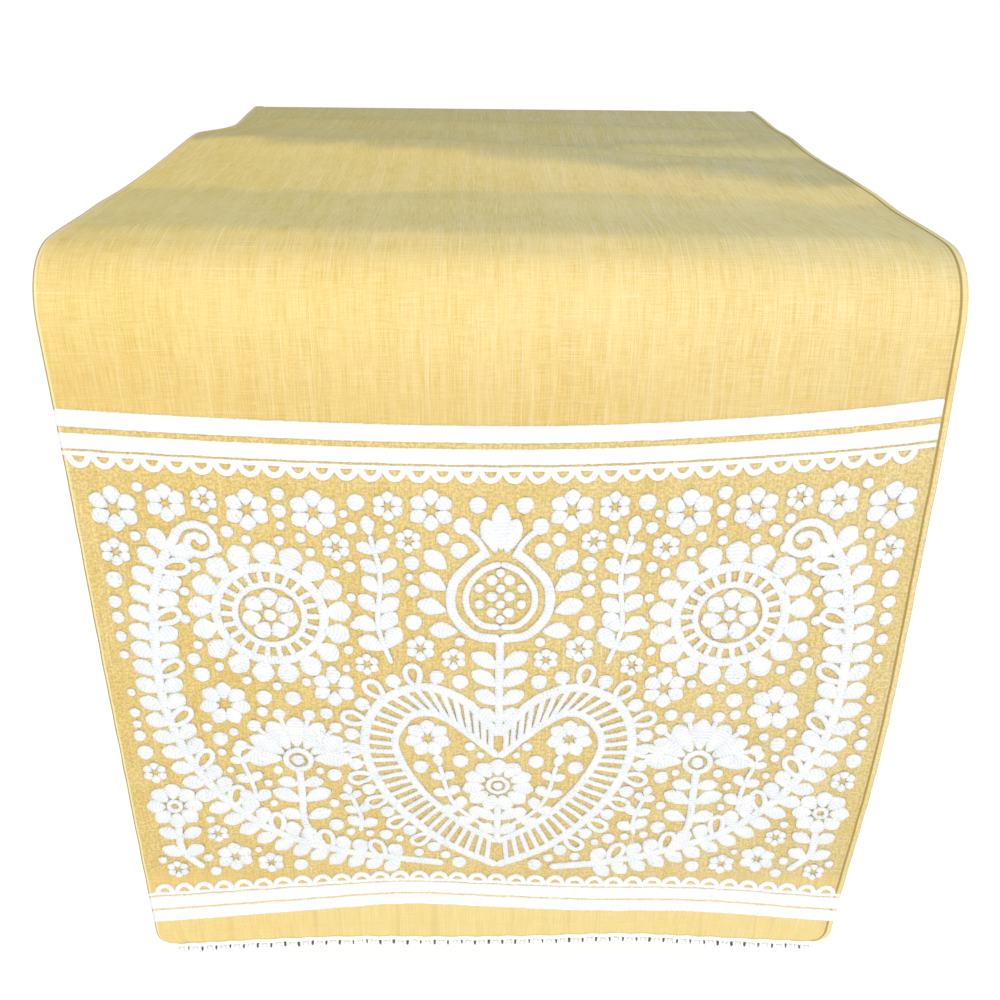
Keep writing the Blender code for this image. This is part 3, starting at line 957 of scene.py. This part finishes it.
def draw_fillers(s, side):
    """Sprigs, curls and small flowers in the spaces between."""
    mirror = (side, 1)
    s.sprig(through((54, 150), (60, 172), (58, 200), (62, 222)) * mirror, 6, 15.0, 9.6)
    s.line(through((166, 8), (176, 22), (176, 40)) * mirror, 4.2)
    s.daisy((side * 176, 54), 4.0, 15.5, 8, 9.6)
    s.ring((side * 176, 54), 3.2, THIN)
    for height in (18, 31):
        for lean in (1, -1):
            s.petal((side * 175.5, height), 90 + lean * 60, 13.5, 8.6)
    for points in (((76, 32), (75, 44), (80, 62)), ((131, 52), (132, 68), (137, 88))):
        s.sprig(through(*points) * mirror, 3, 11.0, 7.6)
    for x, height, *sizes in (
        (33, 236, 1.8, 11.0, 6, 7.8),
        (84, 134, 1.8, 11.5, 6, 8.2),
        (141, 122, 2.2, 13.5, 7, 8.6),
        (181, 230, 2.0, 12.0, 6, 8.4),
        (88, 233, 1.8, 12.0, 6, 8.4),
        (119, 233, 1.8, 11.0, 6, 7.8),
    ):
        s.daisy((side * x, height), *sizes)


# Dots and small flowers in what is left open: the spacing of the places tried, the space round each,
# the largest and smallest dot, and from what size a flower takes the dot's place
SEED_SPACING = 1.5
SEED_SPACE = 1.6
SEED_RADII = (4.4, 2.1)
SEED_FLOWER = 6.2
SEED_FLOWER_LIMIT = 10.5
PANEL_HALF_WIDTH = 193.0
PANEL_TOP = 247.0
# How much wider the thread spreads than it is drawn
THREAD_SPREAD = 0.5


def draw_seeds(s):
    """The widest open place first, until none is wide enough, with the same on the other side."""
    x, y = np.meshgrid(*(np.arange(2.0, reach, SEED_SPACING) for reach in (PANEL_HALF_WIDTH, PANEL_TOP)))
    free = np.minimum(PANEL_HALF_WIDTH - x, np.minimum(y, PANEL_TOP - y))
    for path, widths, _ in s.strokes:
        for point, width in zip(path, widths):
            if point[0] > -SEED_FLOWER_LIMIT:
                free = np.minimum(free, np.hypot(x - point[0], y - point[1]) - width / 2)
    free = np.minimum(free, x + SEED_SPACE / 2) - SEED_SPACE
    largest, smallest = SEED_RADII
    while free.max() > smallest:
        row, column = np.unravel_index(np.argmax(free), free.shape)
        place = np.array((x[row, column], y[row, column]))
        radius = min(free[row, column], SEED_FLOWER_LIMIT)
        flower = radius > SEED_FLOWER
        if not flower:
            radius = min(radius, largest)
        for side in (1, -1):
            if flower:
                s.daisy(place * (side, 1), 1.4, radius, 6, 0.74 * radius)
            else:
                s.dot(place * (side, 1), radius)
        free = np.minimum(free, np.hypot(x - place[0], y - place[1]) - radius - SEED_SPACE)


def panel_strokes():
    s = Drawing()
    draw_stem(s)
    for height in (177, 185.5, 194.5, 203):
        s.dot((0, height), 2.4)
    s.petal((0, 214), 90, 26, 9.8)
    for side in (1, -1):
        draw_pomegranate(s, side)
        draw_heart(s, side)
        draw_wheel(s, side)
        draw_vine(s, side)
        draw_fan_flower(s, side)
        draw_fillers(s, side)
    draw_seeds(s)
    return [(path, widths + THREAD_SPREAD, closed) for path, widths, closed in s.strokes]


# Bands, scallops and the picot edging

PANEL_FOOT = 57.5
BAND_ROWS = 3
BAND_OVERLAP = 1.3
# How much wider the thread of each band spreads than the solid's band
BAND_SPREAD = {"hem_lower": 0.1, "hem_upper": 0.0, "head_lower": 0.0, "head_upper": 0.5}
BORDER_LINE = 2.5
BORDER_GAP = 0.95
BORDER_SOFT_EDGE = 0.0002
# How far each pair of bands stops short of the left and right sides, and where its scallops are
BAND_PAIRS = {
    "hem": {"margins": (0.2, 0.2), "middle": 0.3, "pitch": 11.21},
    "head": {"margins": (0.2, 4.1), "middle": -5.2, "pitch": 11.04},
}
SCALLOPS = 35
SCALLOP_DEPTH = 5.8
SCALLOP_LINE = 3.4
SCALLOP_HALF_WIDTH = 4.45


def border_strokes():
    """The two pairs of bands, with a thin line and a row of half-round scallops inside each pair."""
    s = Drawing()

    def add_row(pair, level, width):
        left, right = pair["margins"][0] - HALF_WIDTH / MM, HALF_WIDTH / MM - pair["margins"][1]
        across = np.linspace(left, right, round((right - left) / DRAW_STEP))
        s.add(flat_points(across, level), np.full_like(across, width))

    for name, band in BANDS.items():
        pair = BAND_PAIRS[name.split("_")[0]]
        whole = band["width"] / MM + BAND_SPREAD[name]
        width = BAND_OVERLAP * whole / BAND_ROWS
        lowest = band["above_end"] / MM - BAND_SPREAD[name] / 2 + width / 2
        for level in np.linspace(lowest, lowest + whole - width, BAND_ROWS):
            add_row(pair, level, width)
    hem = BANDS["hem_upper"]
    below = (hem["above_end"] + hem["width"]) / MM + BORDER_GAP + BORDER_LINE / 2
    above = BANDS["head_lower"]["above_end"] / MM - BORDER_GAP - BORDER_LINE / 2
    turn = np.linspace(0, math.pi, 13)
    for pair, level, way in ((BAND_PAIRS["hem"], below, 1), (BAND_PAIRS["head"], above, -1)):
        add_row(pair, level, BORDER_LINE)
        for number in range(SCALLOPS):
            middle = pair["middle"] + (number - (SCALLOPS - 1) / 2) * pair["pitch"]
            arc = flat_points(-SCALLOP_HALF_WIDTH * np.cos(turn), way * SCALLOP_DEPTH * np.sin(turn))
            s.line(arc + (middle, level), SCALLOP_LINE)
    return s.strokes


def build_stitching():
    # The panel's thread is a shaded copy of the border thread: the same white, painted darker and more
    # speckled for the shade among its crowded strokes
    thread = stitch_material("white_thread_shaded_for_panel", (0.76, 0.80, 0.86, 1), (0.905, 0.92, 0.91, 1), 0.75)
    border_thread = stitch_material("white_border_thread", (0.87, 0.90, 0.93, 1), (0.96, 0.97, 0.96, 1), 0.2)
    made = []
    for end, sign in ENDS.items():
        panel = lay_thread(f"embroidery_{end}", panel_strokes(), sign, PANEL_FOOT, thread, seed=7)
        border = lay_thread(f"borders_{end}", border_strokes(), sign, 0.0, border_thread, seed=11,
                            soft_edge=BORDER_SOFT_EDGE)
        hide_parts(*(f"band_{end}_{name}" for name in BANDS))
        made += [panel, border]
    return made


CORD_SECTION = np.radians(np.arange(0, 360, 45))
BRAID_CORD = 2.1
BRAID_STITCH = 2.9
PICOT_CORD = 2.5
PICOT_KNOT = 3.3
# How far round each picot's loop goes from straight down, in degrees
PICOT_TURN = 138
# Painted shade: a near-black oval in the tape between two picots, for the shade seen through the gap there;
# its width, its height and its depth in metres
SHADE_OVAL_WIDTH = 2.3
SHADE_OVAL_HEIGHT = 3.6
SHADE_OVAL_LEVEL = -6.3
SHADE_OVAL_LIFT = 0.0012
SHADED = -0.001


def edging_cords():
    """Round cords as (path, widths), in millimetres: two of braid, then each picot's loop and knot."""
    run = PICOT_COUNT * PICOT_PITCH / MM
    braid = np.linspace(-run / 2, run / 2, round(run / 0.7) + 1)
    cords = []
    for level, start in ((-1.05, 0.0), (-3.0, 0.5)):
        swell = 1 + 0.13 * np.sin(TURN * (braid / BRAID_STITCH + start))
        cords.append((flat_points(braid, level), BRAID_CORD * swell))
    radius = (PICOT_PITCH / MM - PICOT_CORD) / 2
    lowest = -(TAPE_HEIGHT + PICOT_DEPTH) / MM + PICOT_CORD / 2
    turn = np.radians(np.linspace(-PICOT_TURN, PICOT_TURN, 19))
    for number in range(PICOT_COUNT):
        middle = np.array((picot_join(number) + PICOT_PITCH / MM / 2, lowest + radius))
        loop = middle + radius * flat_points(np.sin(turn), -np.cos(turn))
        swell = 1 + 0.10 * np.sin(np.linspace(0, 5 * math.pi, len(loop)) + number)
        cords.append((loop, PICOT_CORD * swell))
        cords.append(oval(middle, PICOT_KNOT, PICOT_KNOT, 6))
    return cords


def picot_join(number):
    """Where picot number starts, in millimetres from the middle of the edging."""
    return (number - PICOT_COUNT / 2) * PICOT_PITCH / MM


def painted_shade_ovals():
    """Small near-black ovals of painted shade, as (path, widths), one where each pair of picots leaves the
    tape.
    """
    random = np.random.default_rng(3)
    ovals = []
    for number in range(1, PICOT_COUNT):
        size = random.uniform(0.70, 1.15)
        lean = bearing(90 + random.uniform(-25, 25))
        middle = np.array((picot_join(number) + random.uniform(-0.4, 0.4), SHADE_OVAL_LEVEL))
        ovals.append(oval(middle, SHADE_OVAL_HEIGHT * size, SHADE_OVAL_WIDTH * size, 5, lean=lean))
    return ovals


def build_edgings():
    material = cord_material()
    made = []
    thread = [(*cord, 1.0, BRAID_CORD * MM) for cord in edging_cords()]
    # The ovals of painted shade, near-black in the cord's material
    shade = [(*oval, 2 * SHADE_OVAL_LIFT / (SHADE_OVAL_WIDTH * MM), SHADED) for oval in painted_shade_ovals()]
    for end, sign in ENDS.items():
        strands = []
        for path, widths, height, from_edge in thread + shade:
            radius = widths[:, None] / 2
            flat = widened(path, radius * np.cos(CORD_SECTION), False)
            lifts = height * radius * MM * np.sin(CORD_SECTION)
            places = stitch_places(np.cos(CORD_SECTION), run_along(path) * MM, from_edge)
            strands.append((flat, lifts, places, False))

        def lay(flat, lifts):
            across = -sign * (flat[:, 0] * MM) / HALF_WIDTH
            along = sign * (HALF_LENGTH - flat[:, 1] * MM)
            return sheet_points(across, along) + lifts[:, None] * sheet_normals(across, along)

        piece = join_strands(f"picot_edging_{end}", strands, sign, material, lay)
        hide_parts(f"picot_trim_{end}")
        made.append(piece)
    return made


# The table

GRAIN = {"table_top": 1, "apron_near": 0, "apron_far": 0, "apron_left": 1, "apron_right": 1}


def dress_table():
    woods = [wood_material(f"pale_wood_{axis}", number) for number, axis in enumerate("xyz")]
    for name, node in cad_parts.items():
        if name.startswith(("table_top", "leg_", "apron_")):
            node.material_slots[0].material = woods[GRAIN.get(name, 2)]


# The floor, the light and the camera

FLOOR_SIZE = 60.0
FLOOR_GLOW = 0.87
KEY_PLACE = Vector((0.28, -2.05, 2.35))
KEY_TARGET = Vector((0, -0.2, 0.38))
KEY_SIZE = 1.0
KEY_POWER = 48
# The studio's light from all around, by height: 0 is level and 1 straight up
SKY = (
    (0.00, (0.93, 0.94, 0.96, 1)),
    (0.14, (0.62, 0.68, 0.78, 1)),
    (0.38, (0.34, 0.43, 0.60, 1)),
    (1.00, (0.29, 0.40, 0.60, 1)),
)
CAMERA_PLACE = (-0.0096, -0.6636, 0.5950)
CAMERA_YAW = -1.168
CAMERA_PITCH = 28.238
CAMERA_ROLL = 0.748
CAMERA_LENS = 38.16
SENSOR = 36.0


def build_floor():
    half = FLOOR_SIZE / 2
    corners = [(-half, -half, 0), (half, -half, 0), (half, half, 0), (-half, half, 0)]
    mesh = bpy.data.meshes.new("floor")
    mesh.from_pydata(corners, [], [(0, 1, 2, 3)])
    shader = Shader("white_floor", roughness=0.8)
    shader.surface.inputs["Emission Color"].default_value = (1.0, 0.97, 0.90, 1.0)
    shader.surface.inputs["Emission Strength"].default_value = FLOOR_GLOW
    mesh.materials.append(shader.finish((0.35, 0.35, 0.35, 1.0)))
    floor = link("floor", mesh)


def build_world():
    world = bpy.data.worlds.new("studio")
    world.use_nodes = True
    tree = world.node_tree
    parts = tree.nodes.new("ShaderNodeSeparateXYZ")
    tree.links.new(tree.nodes.new("ShaderNodeTexCoord").outputs["Generated"], parts.inputs[0])
    tree.links.new(colour_ramp(tree, parts.outputs["Z"], SKY), tree.nodes["Background"].inputs["Color"])
    bpy.context.scene.world = world


def build_light():
    data = bpy.data.lights.new("key", "AREA")
    data.size = KEY_SIZE
    data.energy = KEY_POWER
    data.color = (1.0, 0.88, 0.66)
    light = link("key", data)
    light.location = KEY_PLACE
    light.rotation_euler = (KEY_TARGET - KEY_PLACE).to_track_quat("-Z", "Y").to_euler()
    bpy.context.scene.view_settings.view_transform = "Standard"


def build_camera():
    turns = ((CAMERA_YAW, "Z"), (90 - CAMERA_PITCH, "X"), (CAMERA_ROLL, "Z"))
    yaw, pitch, roll = (Matrix.Rotation(math.radians(angle), 4, axis) for angle, axis in turns)
    data = bpy.data.cameras.new("camera")
    data.sensor_width = SENSOR
    data.lens = CAMERA_LENS
    data.clip_start = 0.01
    camera = link("camera", data)
    camera.matrix_world = Matrix.Translation(CAMERA_PLACE) @ yaw @ pitch @ roll
    bpy.context.scene.camera = camera


def main():
    runner = build_cloth(cloth_material())
    sewn_on = build_stitching() + build_edgings()
    dress_table()
    build_floor()
    build_world()
    build_light()
    build_camera()


main()
